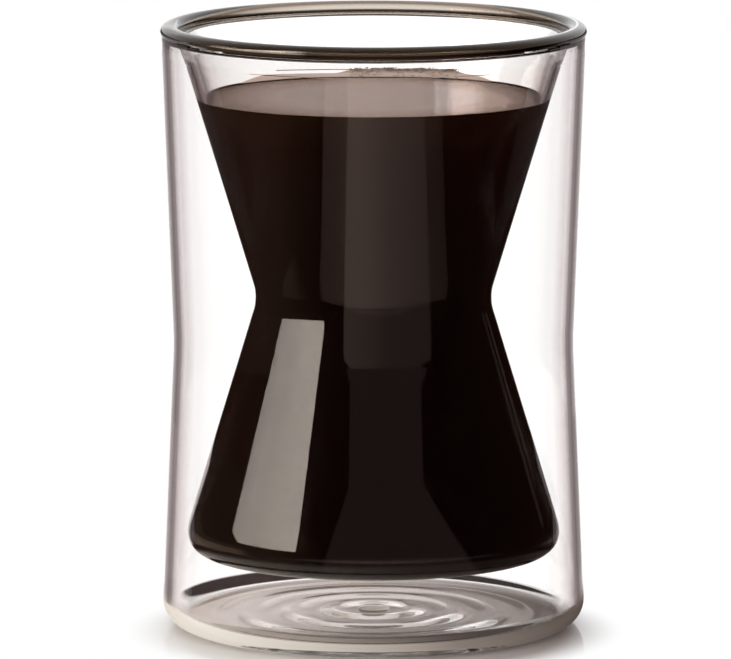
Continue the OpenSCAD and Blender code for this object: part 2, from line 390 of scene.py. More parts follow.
def coffee_in_glass():
    """Brewed coffee against wet glass: nearly black, with painted light that makes it browner towards its
    surface. It hardly mirrors, because glass and water bend light alike."""
    sizes, colours = bpy.context.scene.cup_sizes, bpy.context.scene.cup_colours
    # Height under the surface over which the painted light browns the coffee
    painted_light_h = 32 * MM
    material, tree = new_material("brewed_coffee_in_glass")
    point = add_node(tree, "ShaderNodeTexCoord")
    place = add_node(tree, "ShaderNodeSeparateXYZ", links={"Vector": point.outputs["Object"]}).outputs
    height = add_node(
        tree, "ShaderNodeMapRange", {"From Min": sizes.coffee_z - painted_light_h, "From Max": sizes.coffee_z},
        {"Value": place["Z"]})
    ramp = add_node(tree, "ShaderNodeValToRGB", links={"Fac": height.outputs["Result"]})
    fill_ramp(ramp, [
        (0.0, colours.coffee), (0.35, colours.coffee_lower), (0.75, colours.coffee_upper),
        (1.0, colours.coffee_painted_light_top)])
    shader = add_node(
        tree, "ShaderNodeBsdfPrincipled", {"Roughness": 0.3, "IOR": 1.1},
        {"Base Color": ramp.outputs["Color"]})
    add_node(tree, "ShaderNodeOutputMaterial", links={"Surface": shader.outputs["BSDF"]})
    return material


def coffee_surface():
    """Brewed coffee's open surface: a dark liquid that mirrors the room as water does, with a painted tint on
    what it mirrors that is duller towards its edge.
    """
    colours = bpy.context.scene.cup_colours
    # Within the first radius the painted tint of its reflection is brightest, and from the second it is
    # dullest
    bright_r, dull_r = 20 * MM, 36 * MM
    material, tree = new_material("brewed_coffee_surface")
    body = add_node(tree, "ShaderNodeBsdfDiffuse", {"Color": linear(colours.coffee_top)})
    point = add_node(tree, "ShaderNodeTexCoord")
    flat = add_node(
        tree, "ShaderNodeVectorMath", MULTIPLY | {1: (1.0, 1.0, 0.0)}, {0: point.outputs["Object"]})
    off_axis = add_node(tree, "ShaderNodeVectorMath", {"operation": "LENGTH"}, {0: flat.outputs["Vector"]})
    edge_share = add_node(
        tree, "ShaderNodeMapRange", {"From Min": bright_r, "From Max": dull_r},
        {"Value": off_axis.outputs["Value"]})
    sheen = add_node(tree, "ShaderNodeValToRGB", links={"Fac": edge_share.outputs["Result"]})
    fill_ramp(sheen, [(0.0, colours.painted_sheen_middle), (0.5, colours.painted_sheen_outer), (1.0, colours.painted_sheen_edge)])
    mirror = add_node(tree, "ShaderNodeBsdfGlossy", {"Roughness": 0.03}, {"Color": sheen.outputs["Color"]})
    slant = add_node(tree, "ShaderNodeFresnel", {"IOR": 1.33})
    mix = add_node(
        tree, "ShaderNodeMixShader",
        links={"Fac": slant.outputs["Fac"], 1: body.outputs["BSDF"], 2: mirror.outputs["BSDF"]})
    add_node(tree, "ShaderNodeOutputMaterial", links={"Surface": mix.outputs["Shader"]})
    return material


def foam_film():
    """Coffee foam: a satin film round tiny bubbles, browner where it has dried along its top."""
    sizes, colours = bpy.context.scene.cup_sizes, bpy.context.scene.cup_colours
    foam_h = 3 * MM
    material, tree = new_material("coffee_foam_film")
    point = add_node(tree, "ShaderNodeTexCoord")
    place = add_node(tree, "ShaderNodeSeparateXYZ", links={"Vector": point.outputs["Object"]}).outputs
    height = add_node(
        tree, "ShaderNodeMapRange", {"From Min": sizes.coffee_z, "From Max": sizes.coffee_z + foam_h},
        {"Value": place["Z"]})
    ramp = add_node(tree, "ShaderNodeValToRGB", links={"Fac": height.outputs["Result"]})
    fill_ramp(ramp, [
        (0.0, colours.foam), (0.4, colours.foam), (0.75, colours.foam_dry), (1.0, colours.foam_dry)])
    shader = add_node(
        tree, "ShaderNodeBsdfPrincipled", {"Roughness": 0.4, "IOR": 1.33},
        {"Base Color": ramp.outputs["Color"]})
    add_node(tree, "ShaderNodeOutputMaterial", links={"Surface": shader.outputs["BSDF"]})
    return material


def beside(path, t, flip):
    """The path moved to its left by t with each straight kept parallel. flip mirrors it at its last point."""
    steps = [(Vector(b) - Vector(a)).normalized() for a, b in zip(path, path[1:])]
    lefts = [Vector((-step.y, step.x)) for step in steps]
    before = [Vector((lefts[0].x, -lefts[0].y))] + lefts
    after = lefts + [Vector((lefts[-1].x * flip[0], lefts[-1].y * flip[1]))]
    return [tuple(Vector(p) + t * (a + b) / (1 + a.dot(b))) for p, a, b in zip(path, before, after)]


def draw(points, rounds, closed):
    """A mesh with one outline in the XZ plane: its corners, and the radius that rounds each, 0 for none."""
    bm = bmesh.new()
    corners = [bm.verts.new((r, 0.0, z)) for r, z in points]
    for a, b in zip(corners, corners[1:] + (corners[:1] if closed else [])):
        bm.edges.new((a, b))
    places = [Vector((r, 0.0, z)) for r, z in points]
    for i, radius in enumerate(rounds):
        if radius:
            here, ahead = places[i], places[(i + 1) % len(places)]
            half = (places[i - 1] - here).angle(ahead - here) / 2
            bmesh.ops.bevel(
                bm, geom=[corners[i]], offset=radius / math.tan(half), offset_type="OFFSET",
                segments=CORNER_STEPS, profile=0.5, affect="VERTICES", material=-1)
    return bm


def spin(bm, steps):
    """Spins the outline right round the Z axis, closes its seam and poles, and turns the faces outwards."""
    for edge in [e for e in bm.edges if e.calc_length() > LONGEST_STEP]:
        cuts = max(1, round(edge.calc_length() / LONGEST_STEP))
        bmesh.ops.subdivide_edges(bm, edges=[edge], cuts=cuts)
    bmesh.ops.spin(
        bm, geom=bm.verts[:] + bm.edges[:], cent=(0, 0, 0), axis=AXIS, dvec=(0, 0, 0),
        angle=FULL_TURN, steps=steps, use_merge=True)
    bmesh.ops.remove_doubles(bm, verts=bm.verts[:], dist=SAME_PLACE)
    bmesh.ops.recalc_face_normals(bm, faces=bm.faces[:])


def faces_outwards(middle, normal):
    """Whether a face with this middle and normal looks away from the cup's axis."""
    return normal.x * middle.x + normal.y * middle.y > 0


def finish_piece(name, bm, materials, level_cuts=(), skin=None):
    """Makes the object. Level faces at the heights in level_cuts are fused seams: they are kept flat and take
    the second material. skin gives the number of any other face's material from its middle and normal."""
    for edge in bm.edges:
        edge.smooth = edge.calc_face_angle(0.0) < SMOOTH_BEND
    for face in bm.faces:
        face.smooth = True
        middle = face.calc_center_median()
        if any(abs(middle.z - z) < SAME_PLACE for z in level_cuts) and abs(face.normal.z) > LEVEL:
            face.smooth = False
            face.material_index = 1
        elif skin:
            face.material_index = skin(middle, face.normal)
    mesh = bpy.data.meshes.new(name)
    bm.to_mesh(mesh)
    bm.free()
    for material in materials:
        mesh.materials.append(material)
    piece = bpy.data.objects.new(name, mesh)
    bpy.context.scene.collection.objects.link(piece)
    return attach(piece, "root")


def material_named(name, make):
    """The material of this name, made once."""
    return bpy.data.materials.get(name) or make()


def vessel_path(s):
    """The inner vessel's outside, from the rim down to the middle of its floor."""
    mouth_r = s.rim_r - s.bead_proud - s.jacket_t - s.mouth_gap
    floor_r = s.bowl_r - s.bowl_edge
    dome = [(floor_r * k / DOME_STEPS, s.bowl_z + s.bowl_rise * (1 - (k / DOME_STEPS) ** 2))
            for k in range(DOME_STEPS, -1, -1)]
    return [(mouth_r, s.rim_z), (s.waist_r, s.waist_z), (s.bowl_r, s.bowl_z)] + dome


class GLASSCUP_OT_jacket(bpy.types.Operator):
    """Model the outer wall: two long cones that meet in a soft waist"""

    bl_idname = "glasscup.jacket"
    bl_label = "Outer Wall"

    def execute(self, context):
        s = context.scene.cup_sizes
        path = [(s.rim_r - s.bead_proud, s.rim_z), (s.jacket_waist_r, s.jacket_waist_z), (s.foot_r, s.base_z)]
        inside = beside(path, -s.jacket_t, (1, -1))
        bm = draw(path + inside[::-1], [0, s.jacket_bend, 0, 0, s.jacket_bend + s.jacket_t, 0], True)
        spin(bm, s.turn_steps)
        piece = finish_piece(
            "outer_wall_glass", bm,
            [material_named("borosilicate_glass_blown", wall_glass),
             material_named("borosilicate_glass_fused_seam", fused_seam),
             material_named("borosilicate_glass_clear", clear_skin)],
            (s.rim_z, s.base_z), lambda middle, normal: 0 if faces_outwards(middle, normal) else 2)
        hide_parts("outer_wall")
        return {"FINISHED"}


class GLASSCUP_OT_vessel(bpy.types.Operator):
    """Model the hourglass vessel that holds the drink"""

    bl_idname = "glasscup.vessel"
    bl_label = "Inner Vessel"

    def execute(self, context):
        s = context.scene.cup_sizes
        path = vessel_path(s)
        inside = beside(path, -s.vessel_t, (-1, 1))
        sharp = [0] * (len(path) - 3)
        rounds = [0, s.waist_bend, s.bowl_corner] + sharp
        inner_rounds = [0, s.waist_bend + s.vessel_t, s.bowl_corner - s.vessel_t] + sharp
        bm = draw(inside[::-1] + path, inner_rounds[::-1] + rounds, False)
        spin(bm, s.turn_steps)
        piece = finish_piece(
            "inner_vessel_glass", bm,
            [material_named("borosilicate_glass_blown", wall_glass),
             material_named("borosilicate_glass_fused_seam", fused_seam)],
            (s.rim_z,))
        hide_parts("inner_vessel")
        return {"FINISHED"}


class GLASSCUP_OT_rim(bpy.types.Operator):
    """Model the fused rim: an oval bead at the lip, and the groove where the gap between the walls ends"""

    bl_idname = "glasscup.rim"
    bl_label = "Rim"

    def execute(self, context):
        s = context.scene.cup_sizes
        jacket_r = s.rim_r - s.bead_proud
        gap_r = jacket_r - s.jacket_t
        mouth_r = gap_r - s.mouth_gap
        lean = math.atan2(mouth_r - s.waist_r, s.rim_z - s.waist_z)
        bore_r = mouth_r - s.vessel_t / math.cos(lean)
        centre_r, centre_z = s.rim_r - s.bead_w / 2, s.height - s.bead / 2
        # The bead is an oval, drawn from the jacket over the lip and a little way down the bore
        first, last = -math.acos((jacket_r - centre_r) / (s.bead_w / 2)), math.radians(200)
        bead = [(centre_r + s.bead_w / 2 * math.cos(a), centre_z + s.bead / 2 * math.sin(a))
                for a in (first + (last - first) * k / BEAD_STEPS for k in range(BEAD_STEPS + 1))]
        knee_h = s.height - s.rim_z - s.bead * s.knee_depth
        knee = (bore_r + math.tan(lean) * knee_h, s.rim_z + knee_h)
        groove_z = centre_z - s.bead * s.groove_depth
        groove = (mouth_r + math.tan(lean) * (groove_z - s.rim_z), groove_z)
        below = [knee, (bore_r, s.rim_z), (mouth_r, s.rim_z), groove, (gap_r, groove_z), (gap_r, s.rim_z)]
        groove_round = s.jacket_t / 3
        rounds = [s.bead * s.knee_round, 0, 0, groove_round, groove_round, 0]
        bm = draw([(jacket_r, s.rim_z)] + bead + below, [0] * (len(bead) + 1) + rounds, True)
        spin(bm, s.turn_steps)

        def skin(middle, normal):
            outwards = faces_outwards(middle, normal)
            if middle.z < groove_z + SAME_PLACE or (outwards and middle.xy.length < gap_r):
                return 3 if outwards and middle.xy.length > gap_r + MM else 2
            return 4 if outwards else 0

        piece = finish_piece(
            "rim_glass", bm,
            [material_named("borosilicate_glass_fire_polished", lip_glass),
             material_named("borosilicate_glass_fused_seam", fused_seam),
             material_named("borosilicate_glass_clear", clear_skin),
             material_named("borosilicate_glass_blown", wall_glass),
             material_named("borosilicate_glass_fire_polished_outside", lip_front_glass)],
            (s.rim_z,), skin)
        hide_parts("rim_bead")
        return {"FINISHED"}


class GLASSCUP_OT_base(bpy.types.Operator):
    """Model the base with its rounded corner and rippled floor, and the drop of glass in its vent"""

    bl_idname = "glasscup.base"
    bl_label = "Base and Vent Seal"

    def execute(self, context):
        s = context.scene.cup_sizes
        bore_r = s.foot_r - s.jacket_t
        recess_r = s.foot_r - s.base_corner - s.stand_w
        corner = s.base_corner - s.jacket_t
        floor_r = bore_r - corner
        pitch = (floor_r - s.seal_r) / s.ripple_count
        seat_z = s.base_t + s.base_recess

        def rise(r):
            share = min(max((r - s.seal_r) / (recess_r - s.seal_r), 0), 1)
            return s.base_recess * (1 + math.cos(math.pi * share)) / 2

        def ripple(r):
            height = s.ripple_h * (1 - s.ripple_fade * (r - s.seal_r) / (floor_r - s.seal_r))
            return s.base_t + rise(r) + height * (1 - math.cos(FULL_TURN * (r - s.seal_r) / pitch)) / 2

        outside = [(s.foot_r, s.base_z), (s.foot_r, 0.0), (recess_r, 0.0)]
        under = [(r, rise(r)) for r in (recess_r + (s.seal_r - recess_r) * k / RIPPLE_STEPS
                                        for k in range(1, RIPPLE_STEPS + 1))]
        vent = [(s.vent_r, s.base_recess), (s.vent_r, seat_z)]
        rings = [(r, ripple(r)) for r in (s.seal_r + pitch * k / RIPPLE_STEPS
                                          for k in range(RIPPLE_STEPS * s.ripple_count))]
        inside = [(bore_r, s.base_t), (bore_r, s.base_z)]
        rounds = [0, s.base_corner, 0] + [0] * len(under + vent + rings) + [corner, 0]
        bm = draw(outside + under + vent + rings + inside, rounds, True)
        spin(bm, s.turn_steps)
        glass = material_named("borosilicate_glass_rippled", base_glass)
        seam = material_named("borosilicate_glass_fused_seam", fused_seam)
        bend = material_named("borosilicate_glass_bend", corner_glass)

        def upright(normal):
            return abs(normal.z) < 0.5

        def skin(middle, normal):
            if middle.xy.length < s.vent_r + MM and upright(normal):
                return 1
            in_bend = middle.xy.length > floor_r and middle.z > s.base_t
            return 2 if in_bend and not faces_outwards(middle, normal) else 0

        base = finish_piece("base_glass", bm, [glass, seam, bend], (s.base_z, seat_z), skin)
        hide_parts("base_dish")

        drop = [(s.seal_r * math.cos(a), seat_z + s.seal_h * math.sin(a))
                for a in (math.pi / 2 * k / DROP_STEPS for k in range(DROP_STEPS + 1))]
        bm = draw([(0.0, s.base_recess), (s.vent_r, s.base_recess), (s.vent_r, seat_z)] + drop, [], False)
        spin(bm, s.turn_steps // 2)
        seal = finish_piece(
            "vent_seal_glass", bm, [material_named("borosilicate_glass_clear", clear_skin), seam], (seat_z,),
            lambda middle, normal: int(middle.z < seat_z and upright(normal)))
        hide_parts("vent_seal")
        return {"FINISHED"}


class GLASSCUP_OT_coffee(bpy.types.Operator):
    """Model the coffee, which wets the glass right up to the meniscus round its edge"""

    bl_idname = "glasscup.coffee"
    bl_label = "Coffee"

    def execute(self, context):
        s = context.scene.cup_sizes
        path = vessel_path(s)
        side = beside(path, -(s.vessel_t - s.coffee_bond), (-1, 1))
        (top_r, top_z), (waist_r, waist_z) = side[:2]
        edge_z = s.coffee_z + s.meniscus_h
        edge_r = waist_r + (top_r - waist_r) * (edge_z - waist_z) / (top_z - waist_z)
        side[0] = (edge_r, edge_z)
        settling = 5
        creep = [(edge_r - s.meniscus_w * share, s.coffee_z + s.meniscus_h * math.exp(-settling * share))
                 for share in (k / MENISCUS_STEPS for k in range(MENISCUS_STEPS, 0, -1))]
        sharp = [0] * (len(path) - 3)
        rounds = [0, s.waist_bend + s.vessel_t, s.bowl_corner - s.vessel_t] + sharp
        bm = draw([(0.0, s.coffee_z)] + creep + side, [0] * (len(creep) + 1) + rounds, False)
        spin(bm, s.turn_steps)
        looks_up = 0.3
        finish_piece(
            "coffee", bm,
            [material_named("brewed_coffee_in_glass", coffee_in_glass),
             material_named("brewed_coffee_surface", coffee_surface)],
            skin=lambda middle, normal: int(normal.z > looks_up and middle.z > s.coffee_z - MM))
        return {"FINISHED"}


class GLASSCUP_OT_foam(bpy.types.Operator):
    """Model the foam: a thin film on the glass behind the coffee, and the small bubbles that cling to it"""

    bl_idname = "glasscup.foam"
    bl_label = "Coffee Foam"

    def execute(self, context):
        s = context.scene.cup_sizes
        (top_r, top_z), (waist_r, waist_z) = beside(vessel_path(s), -s.vessel_t, (-1, 1))[:2]
        # Heights are over the coffee in millimetres, and turns in degrees from the back, to the right
        film_turns, film_ends, film_heights, film_deep = (-64, 56), (24, 22), (-0.3, -0.2), 0.35 * MM
        film_more, clump_turns, clump_ends, clump_more = 1.5, (-14, 36), (10, 10), 1.4
        line_turns, line_heights, line_deep = (-36, -6), (2.25, 2.5), 0.1 * MM
        bubble_turns, bubble_heights, bubble_radii, bubble_off = (-8, 32), (0.5, 2.9), (0.12, 0.3), 0.3
        # A film has four sides. It starts and ends this near the glass, and at this share of its height it
        # has the same share of its depth
        sides, thin, shoulder = 4, 0.02 * MM, 0.7
        chance = random.Random(7)
        bm = bmesh.new()

        def on_wall(turn, z, off):
            r = waist_r + (top_r - waist_r) * (z - waist_z) / (top_z - waist_z) - off
            return Vector((r * math.sin(turn), r * math.cos(turn), z))

        def strip(turns, low_of, top_of, deep):
            """One film along the wall between two turns, rolled up from a grid and closed at its ends. low_of
            and top_of give its heights at a turn."""
            rolled = bmesh.ops.create_grid(bm, x_segments=s.film_steps, y_segments=sides, size=0.5)["verts"]
            for vert in rolled:
                degrees = turns[0] + (turns[1] - turns[0]) * (vert.co.x + 0.5)
                low, top = s.coffee_z + low_of(degrees) * MM, s.coffee_z + top_of(degrees) * MM
                bend_z = low + shoulder * (top - low)
                corners = ((low, thin), (low, deep), (bend_z, shoulder * deep), (top, thin))
                z, off = corners[round((vert.co.y + 0.5) * sides) % sides]
                vert.co = on_wall(math.radians(degrees), z, off)
            bmesh.ops.remove_doubles(bm, verts=rolled, dist=SAME_PLACE)
            bmesh.ops.holes_fill(bm, edges=bm.edges[:], sides=sides)

        def ease(value, start, end):
            share = min(max((value - start) / (end - start), 0), 1)
            return share * share * (3 - 2 * share)

        def hump(degrees, turns, ends):
            """Rises from 0 to 1 over the first of ends, and falls over the second, between two turns."""
            first, last = turns
            return ease(degrees, first, first + ends[0]) * ease(-degrees, -last, ends[1] - last)

        def crest(degrees):
            """The film's top, with the clump on it, which two waves make uneven."""
            bumps = 0.16 * math.sin(0.49 * degrees) + 0.11 * math.sin(1.15 * degrees + 1)
            film = film_heights[1] + film_more * hump(degrees, film_turns, film_ends)
            return film + (clump_more + bumps) * hump(degrees, clump_turns, clump_ends)

        strip(film_turns, lambda degrees: film_heights[0], crest, film_deep)
        strip(line_turns, lambda degrees: line_heights[0], lambda degrees: line_heights[1], line_deep)
        for _ in range(s.bubble_count):
            turn = math.radians(chance.uniform(*bubble_turns))
            size = chance.uniform(*bubble_radii) * MM
            z = s.coffee_z + chance.uniform(*bubble_heights) * MM
            centre = on_wall(turn, z, size + chance.uniform(0.0, bubble_off) * MM)
            bmesh.ops.create_icosphere(bm, subdivisions=2, radius=size, matrix=Matrix.Translation(centre))
        bmesh.ops.recalc_face_normals(bm, faces=bm.faces[:])
        piece = finish_piece("coffee_foam", bm, [material_named("coffee_foam_film", foam_film)])
        piece.visible_glossy = False
        return {"FINISHED"}


def stage_object(name, bm, material):
    """Links the mesh as a thing of the studio, which isn't part of the cup."""
    mesh = bpy.data.meshes.new(name)
    bm.to_mesh(mesh)
    bm.free()
    mesh.materials.append(material)
    thing = bpy.data.objects.new(name, mesh)
    bpy.context.scene.collection.objects.link(thing)
    return thing


def only_mirrored(tree, shader, on_vessel):
    """Shows this shader only to rays that some surface has mirrored. on_vessel says whether the vessel's
    outside and the base's floor show it: None for as any other surface, False for not, True for only they."""
    path = add_node(tree, "ShaderNodeLightPath")
    clear = add_node(tree, "ShaderNodeBsdfTransparent")
    seen_by = {0: path.outputs["Glossy Depth"]}
    if on_vessel is not None:
        from_vessel = add_node(
            tree, "ShaderNodeMath", {"operation": "COMPARE", 1: VESSEL_SKINS, 2: 0.5},
            {0: path.outputs["Transmission Depth"]})
        seen_by[1] = from_vessel.outputs["Value"]
    if on_vessel:
        others = add_node(tree, "ShaderNodeMapRange", REVERSED, {"Value": seen_by[1]})
        seen_by[1] = others.outputs["Result"]
    seen = add_node(tree, "ShaderNodeMath", {"operation": "SUBTRACT", "use_clamp": True, 1: 0.0}, seen_by)
    mix = add_node(
        tree, "ShaderNodeMixShader",
        links={"Fac": seen.outputs["Value"], 1: clear.outputs["BSDF"], 2: shader})
    add_node(tree, "ShaderNodeOutputMaterial", links={"Surface": mix.outputs["Shader"]})


def screen(name, turns, heights, reach, colour, strength, top_turns=None, on_vessel=None, profile=(),
           streaks=0):
    """A glowing screen of the studio that only mirrors show, bent round the cup at the distance reach. turns
    are the first and last azimuth of its low edge, in degrees, and top_turns those of its high edge, where
    they differ. Azimuth 0 is the camera's side, and rises anticlockwise seen from above. Distances are in
    millimetres. profile gives its strength at shares of its width, and streaks the share by which faint
    streaks change that."""
    bm = bmesh.new()
    bmesh.ops.create_grid(bm, x_segments=SCREEN_STEPS, y_segments=1, size=0.5)
    share = bm.loops.layers.uv.new("share")
    for face in bm.faces:
        for loop in face.loops:
            loop[share].uv = loop.vert.co.xy + Vector((0.5, 0.5))
    for vert in bm.verts:
        high = vert.co.y > 0
        first, last = top_turns if high and top_turns else turns
        turn = math.radians(first + (last - first) * (vert.co.x + 0.5))
        vert.co = Vector((reach * math.sin(turn), -reach * math.cos(turn), heights[high])) * MM

    material, tree = new_material(name)
    glow = add_node(tree, "ShaderNodeEmission", {"Color": linear(colour), "Strength": strength})
    if profile:
        uv = add_node(tree, "ShaderNodeUVMap", {"uv_map": "share"})
        along = add_node(tree, "ShaderNodeSeparateXYZ", links={"Vector": uv.outputs["UV"]}).outputs["X"]
        ramp = add_node(tree, "ShaderNodeValToRGB", links={"Fac": along})
        fill_ramp(ramp, profile)
        power = add_node(
            tree, "ShaderNodeMath", MULTIPLY | {1: strength}, {0: ramp.outputs["Color"]})
        if streaks:
            # Streaks run up the screen: a noise along its width, whose usual span is stretched to the change
            grain = add_node(
                tree, "ShaderNodeTexNoise", {"noise_dimensions": "1D", "Scale": 30.0, "Detail": 4.0},
                {"W": along})
            usual = {"From Min": 0.3, "From Max": 0.7}
            change = {"To Min": strength * (1 - streaks), "To Max": strength * (1 + streaks)}
            level = add_node(tree, "ShaderNodeMapRange", usual | change, {"Value": grain.outputs["Fac"]})
            tree.links.new(level.outputs["Result"], power.inputs[1])
        tree.links.new(power.outputs["Value"], glow.inputs["Strength"])
    only_mirrored(tree, glow.outputs["Emission"], on_vessel)
    thing = stage_object(name, bm, material)
    thing.visible_camera = False
    thing.visible_diffuse = False
    thing.visible_shadow = False
    thing.visible_volume_scatter = False


def studio_world():
    """White to the eye and through glass, with a dim ceiling that only glass shows. Mirrored, it is a dark
    room with a white wall over the floor."""
    dark_room, dim_ceiling = "#1c0f0a", "#453a30"
    wall_edge, ceiling_edge = {"From Min": 0.02, "From Max": 0.06}, {"From Min": 0.02, "From Max": 0.12}
    world = bpy.data.worlds.new("studio")
    bpy.context.scene.world = world
    world.use_nodes = True
    tree = world.node_tree
    tree.nodes.clear()
    path = add_node(tree, "ShaderNodeLightPath").outputs
    direction = add_node(tree, "ShaderNodeTexCoord")
    way = add_node(tree, "ShaderNodeSeparateXYZ", links={"Vector": direction.outputs["Generated"]}).outputs
    above = add_node(tree, "ShaderNodeMapRange", wall_edge, {"Value": way["Z"]})
    outside = add_node(tree, "ShaderNodeMapRange", REVERSED, {"Value": path["Transmission Depth"]})
    wall = add_node(
        tree, "ShaderNodeMath", MULTIPLY,
        {0: above.outputs["Result"], 1: outside.outputs["Result"]})
    room = add_node(
        tree, "ShaderNodeMix", MIX_COLOURS | {COLOUR_A: linear(dark_room), COLOUR_B: WHITE},
        {"Factor": wall.outputs["Value"]})
    undimmed = add_node(tree, "ShaderNodeMapRange", REVERSED, {"Value": path["Diffuse Depth"]})
    through = add_node(
        tree, "ShaderNodeMath", MULTIPLY,
        {0: path["Is Transmission Ray"], 1: undimmed.outputs["Result"]})
    high = add_node(tree, "ShaderNodeMapRange", ceiling_edge, {"Value": way["Z"]})
    ceiling = add_node(
        tree, "ShaderNodeMath", MULTIPLY,
        {0: through.outputs["Value"], 1: high.outputs["Result"]})
    plain = add_node(
        tree, "ShaderNodeMix", MIX_COLOURS | {COLOUR_A: WHITE, COLOUR_B: linear(dim_ceiling)},
        {"Factor": ceiling.outputs["Value"]})
    seen = add_node(
        tree, "ShaderNodeMix", MIX_COLOURS,
        {"Factor": path["Glossy Depth"], COLOUR_A: plain.outputs[MIXED], COLOUR_B: room.outputs[MIXED]})
    strength = add_node(tree, "ShaderNodeMapRange", WHITE_STRENGTH, {"Value": path["Is Transmission Ray"]})
    background = add_node(
        tree, "ShaderNodeBackground",
        links={"Color": seen.outputs[MIXED], "Strength": strength.outputs["Result"]})
    add_node(tree, "ShaderNodeOutputWorld", links={"Surface": background.outputs["Background"]})


def floor_material():
    """White gloss acrylic: it keeps the cup's soft shadow and mirror image, with painted shade that darkens
    it to the right near the foot, and fades to white further off. The glass mirrors only a painted warm glow
    round the cup's foot, and a tinted board beyond."""
    # Tints from left to right across the foot, painted shade that darkens to the right: of the floor, of the
    # floor seen through glass and of the painted glow round the foot, and those across the board
    bare_stops = [(0.0, "#fffaf2"), (0.5, "#f2e8e6"), (0.75, "#d0c4c1"), (1.0, "#a89c98")]
    under_stops = [(0.0, "#fffaf6"), (0.4, "#e6dcda"), (0.7, "#a89c99"), (1.0, "#6f6462")]
    glow_stops = [(0.0, "#f6efe4"), (0.35, "#d0c8be"), (0.7, "#857b74"), (1.0, "#5a504a")]
    board_stops = [(0.0, "#a89086"), (0.12, "#b0958b"), (0.3, "#dcc3b0"), (0.48, "#cab1a8"),
                   (0.77, "#98847a"), (1.0, "#6a5e52")]
    foot_span = {"From Min": -42 * MM, "From Max": 42 * MM}
    board_span = {"From Min": -96 * MM, "From Max": 131 * MM}
    soft = {"interpolation_type": "SMOOTHSTEP"}
    # Round a place a little nearer than the cup's middle, the floor turns white between these distances
    white_centre = (0.0, -9 * MM, 0.0)
    white_edge = soft | {"From Min": 37.5 * MM, "From Max": 50.5 * MM}
    # The board starts at this distance from the cup's middle. It ends to both sides of its own middle, and
    # behind the cup. The vessel's outside and the base's floor don't show it within an arch
    board_start = soft | {"From Min": 50 * MM, "From Max": 70 * MM}
    board_middle, board_end = 15.8 * MM, {"From Min": 102.8 * MM, "From Max": 104.8 * MM}
    board_back = {"From Min": -20 * MM, "From Max": 0.0}
    arch_centre = (-12.7 * MM, 67.5 * MM, 0.0)
    arch_edge = REVERSED | {"From Min": 156.5 * MM, "From Max": 159.5 * MM}
    gloss_share = 0.35

    material, tree = new_material("white_gloss_acrylic")
    path = add_node(tree, "ShaderNodeLightPath").outputs
    place = add_node(tree, "ShaderNodeTexCoord").outputs["Object"]
    across = add_node(tree, "ShaderNodeSeparateXYZ", links={"Vector": place}).outputs

    # To the eye and through glass: a gloss floor near the foot, with painted shade darker to the right, and
    # white beyond
    side = add_node(tree, "ShaderNodeMapRange", foot_span, {"Value": across["X"]}).outputs["Result"]
    bare = add_node(tree, "ShaderNodeValToRGB", links={"Fac": side})
    fill_ramp(bare, bare_stops)
    under = add_node(tree, "ShaderNodeValToRGB", links={"Fac": side})
    fill_ramp(under, under_stops)
    shown = add_node(
        tree, "ShaderNodeMix", MIX_COLOURS,
        {"Factor": path["Transmission Depth"],
         COLOUR_A: bare.outputs["Color"], COLOUR_B: under.outputs["Color"]})
    matt = add_node(tree, "ShaderNodeBsdfDiffuse", links={"Color": shown.outputs[MIXED]})
    gloss = add_node(tree, "ShaderNodeBsdfGlossy", {"Roughness": 0.05})
    near = add_node(
        tree, "ShaderNodeMixShader", {"Fac": gloss_share},
        {1: matt.outputs["BSDF"], 2: gloss.outputs["BSDF"]})
    off_white = add_node(tree, "ShaderNodeVectorMath", {"operation": "SUBTRACT", 1: white_centre}, {0: place})
    white_r = add_node(
        tree, "ShaderNodeVectorMath", {"operation": "LENGTH"}, {0: off_white.outputs["Vector"]})
    fade = add_node(tree, "ShaderNodeMapRange", white_edge, {"Value": white_r.outputs["Value"]})
    strength = add_node(tree, "ShaderNodeMapRange", WHITE_STRENGTH, {"Value": path["Is Transmission Ray"]})
    white = add_node(tree, "ShaderNodeEmission", links={"Strength": strength.outputs["Result"]})
    plain = add_node(
        tree, "ShaderNodeMixShader",
        links={"Fac": fade.outputs["Result"], 1: near.outputs["Shader"], 2: white.outputs["Emission"]})

    # Mirrored: the painted glow round the foot, and the board
    middle_r = add_node(tree, "ShaderNodeVectorMath", {"operation": "LENGTH"}, {0: place})
    board = add_node(
        tree, "ShaderNodeMapRange", board_start, {"Value": middle_r.outputs["Value"]}).outputs["Result"]
    glow = add_node(tree, "ShaderNodeValToRGB", links={"Fac": side})
    fill_ramp(glow, glow_stops)
    board_side = add_node(tree, "ShaderNodeMapRange", board_span, {"Value": across["X"]})
    board_tint = add_node(tree, "ShaderNodeValToRGB", links={"Fac": board_side.outputs["Result"]})
    fill_ramp(board_tint, board_stops)
    light = add_node(
        tree, "ShaderNodeMix", MIX_COLOURS,
        {"Factor": board, COLOUR_A: glow.outputs["Color"], COLOUR_B: board_tint.outputs["Color"]})
    warm = add_node(tree, "ShaderNodeEmission", links={"Color": light.outputs[MIXED]})

